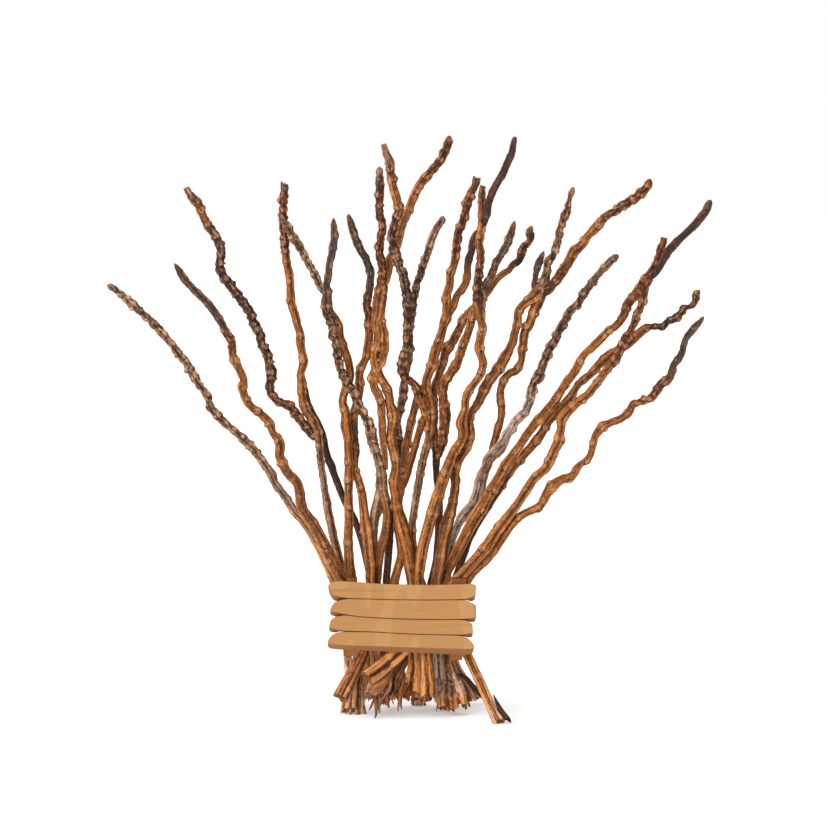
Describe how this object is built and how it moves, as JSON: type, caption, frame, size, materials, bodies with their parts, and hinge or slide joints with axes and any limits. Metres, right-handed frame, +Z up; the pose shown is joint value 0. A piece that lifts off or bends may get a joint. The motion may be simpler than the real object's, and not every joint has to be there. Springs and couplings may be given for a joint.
{
  "type": "dried coconut stem bunch",
  "caption": "Upright fan of wavy, knobbly dried palm flower stems tied at the waist behind a plain board sign, standing on splayed ribbed cut ends.",
  "frame": {"origin": "middle of the bounding box's underside, on the surface that the bunch stands on", "axes": "+Z up; +X across the fan, to the right as seen from in front of the sign; +Y away from the sign towards the back"},
  "size_m": [0.606, 0.207, 0.5796],
  "materials": {
    "board": "flat painted tan board with paler patches and thin wavy grooves",
    "batten": "rough mid-brown wood",
    "stem": "dried orange-brown to grey-brown bark, slightly glossy, pitted, with darker tips and ribbed fibrous ends",
    "twine": "matt twisted natural fibre"
  },
  "bodies": {
    "root": {"sign_plank_1": "board", "sign_plank_2": "board", "sign_plank_3": "board", "sign_plank_4": "board", "sign_batten_left": "batten", "sign_batten_right": "batten", "stem_01": "stem", "stem_02": "stem", "stem_03": "stem", "stem_04": "stem", "stem_05": "stem", "stem_06": "stem", "stem_07": "stem", "stem_08": "stem", "stem_09": "stem", "stem_10": "stem", "stem_11": "stem", "stem_12": "stem", "stem_13": "stem", "stem_14": "stem", "stem_15": "stem", "stem_16": "stem", "stem_17": "stem", "tie_twine": "twine"}
  },
  "joints": []
}
